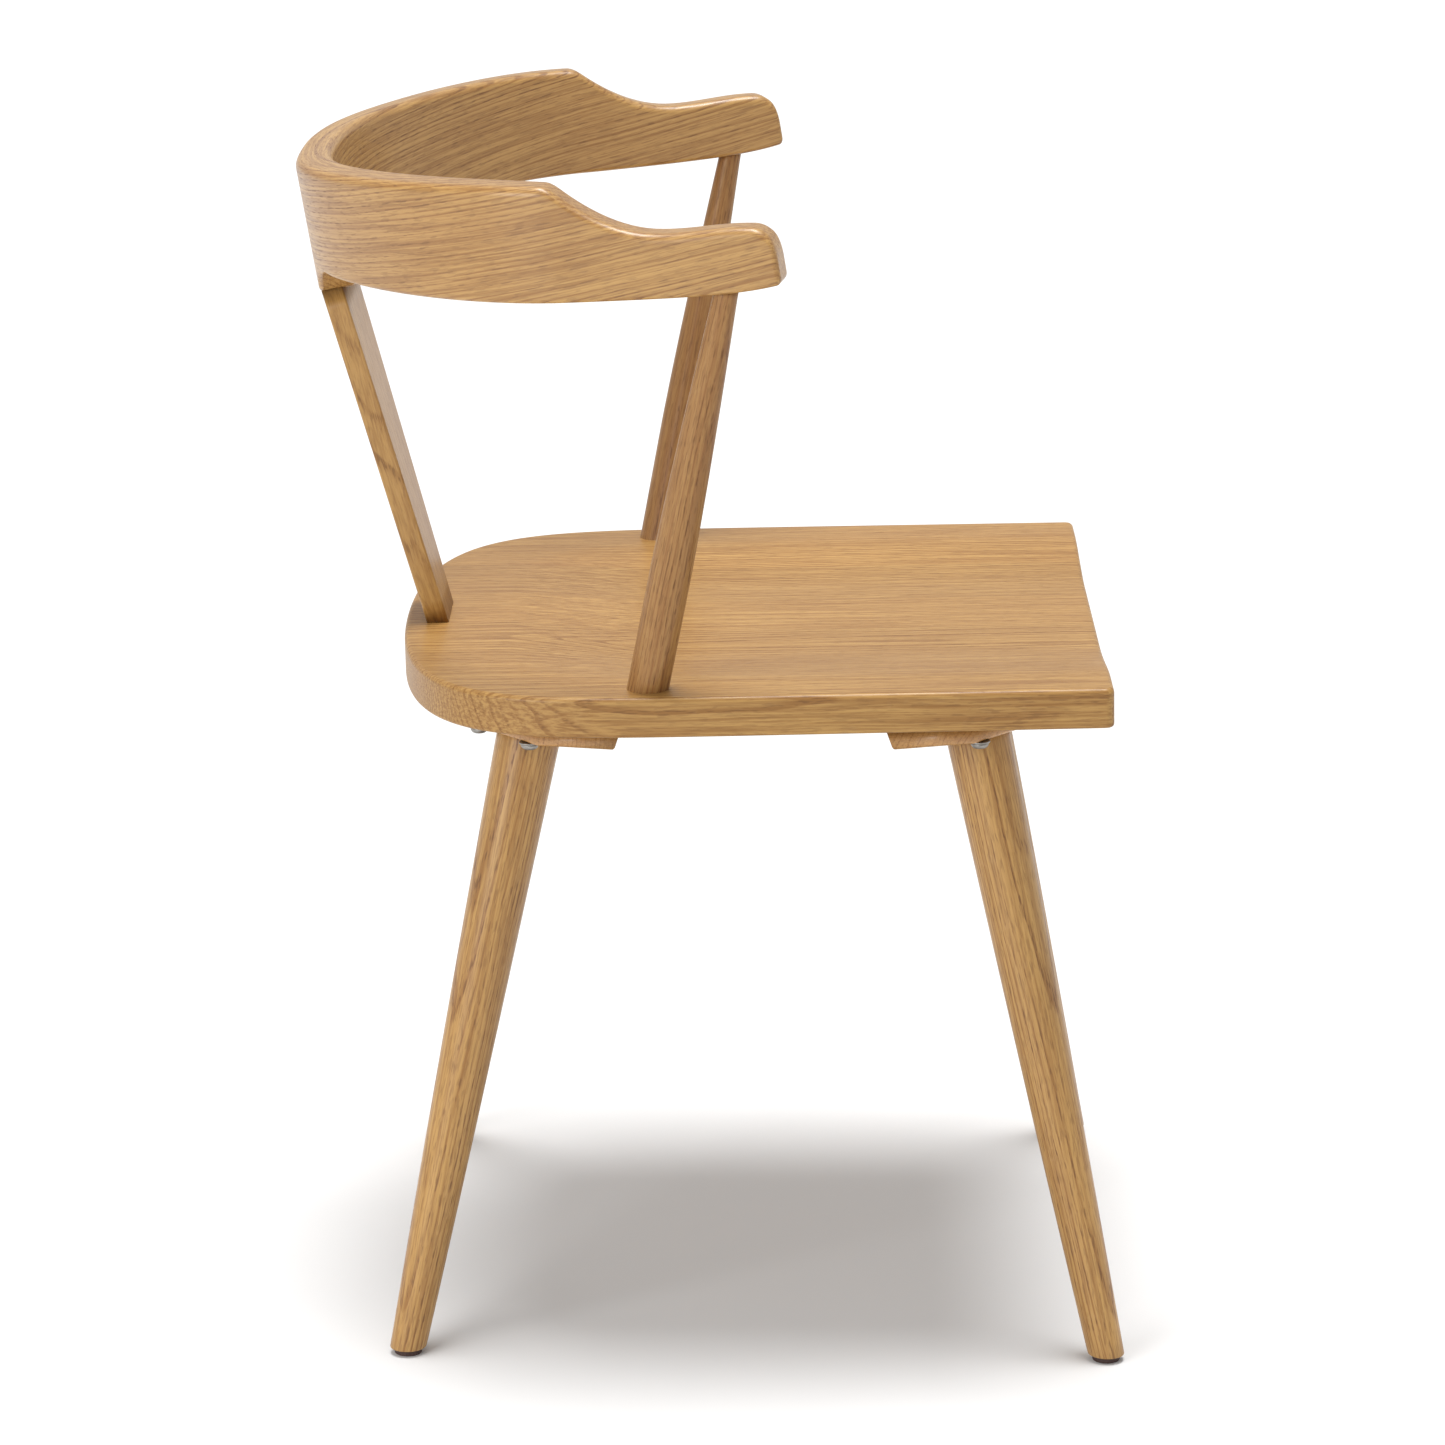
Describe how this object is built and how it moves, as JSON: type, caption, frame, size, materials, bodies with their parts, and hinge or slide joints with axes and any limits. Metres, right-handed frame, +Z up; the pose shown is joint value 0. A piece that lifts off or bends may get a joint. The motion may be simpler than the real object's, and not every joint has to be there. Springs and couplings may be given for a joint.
{
  "type": "dining chair",
  "caption": "Solid wood dining armchair: scooped seat on splayed round legs, low curved back rail running forward into short arms, flat splat and turned arm spindles.",
  "frame": {"origin": "on the floor, under the middle of the chair's outer box", "axes": "+Z up; the sitter faces -Y; +X is the sitter's left"},
  "size_m": [0.576, 0.5444, 0.7789],
  "materials": {
    "oak": "clear satin lacquer over solid oak",
    "oak_underside": "thinly lacquered solid oak, redder and darker than the rest",
    "nickel_steel": "nickel-plated steel, satin",
    "zinc_steel": "zinc-plated steel, dull",
    "glide_plastic": "dark brown moulded nylon, matt"
  },
  "bodies": {
    "root": {"arm_spindle_left": "oak", "arm_spindle_right": "oak", "back_rail": "oak", "back_splat": "oak", "foot_glide_back_left": "glide_plastic", "foot_glide_back_right": "glide_plastic", "foot_glide_front_left": "glide_plastic", "foot_glide_front_right": "glide_plastic", "insert_back_left_corner": "zinc_steel", "insert_back_left_inner": "zinc_steel", "insert_back_left_outer": "zinc_steel", "insert_back_right_corner": "zinc_steel", "insert_back_right_inner": "zinc_steel", "insert_back_right_outer": "zinc_steel", "insert_front_left_corner": "zinc_steel", "insert_front_left_inner": "zinc_steel", "insert_front_left_outer": "zinc_steel", "insert_front_right_corner": "zinc_steel", "insert_front_right_inner": "zinc_steel", "insert_front_right_outer": "zinc_steel", "leg_back_left": "oak", "leg_back_right": "oak", "leg_block_back_left": "oak_underside", "leg_block_back_right": "oak_underside", "leg_block_front_left": "oak_underside", "leg_block_front_right": "oak_underside", "leg_front_left": "oak", "leg_front_right": "oak", "screw_back_left_corner": "nickel_steel", "screw_back_left_inner": "nickel_steel", "screw_back_left_outer": "nickel_steel", "screw_back_right_corner": "nickel_steel", "screw_back_right_inner": "nickel_steel", "screw_back_right_outer": "nickel_steel", "screw_front_left_corner": "nickel_steel", "screw_front_left_inner": "nickel_steel", "screw_front_left_outer": "nickel_steel", "screw_front_right_corner": "nickel_steel", "screw_front_right_inner": "nickel_steel", "screw_front_right_outer": "nickel_steel", "seat": "oak", "splat_dowel_base_left": "oak", "splat_dowel_base_right": "oak", "splat_dowel_top_left": "oak", "splat_dowel_top_right": "oak", "washer_back_left_corner": "nickel_steel", "washer_back_left_inner": "nickel_steel", "washer_back_left_outer": "nickel_steel", "washer_back_right_corner": "nickel_steel", "washer_back_right_inner": "nickel_steel", "washer_back_right_outer": "nickel_steel", "washer_front_left_corner": "nickel_steel", "washer_front_left_inner": "nickel_steel", "washer_front_left_outer": "nickel_steel", "washer_front_right_corner": "nickel_steel", "washer_front_right_inner": "nickel_steel", "washer_front_right_outer": "nickel_steel"}
  },
  "joints": []
}
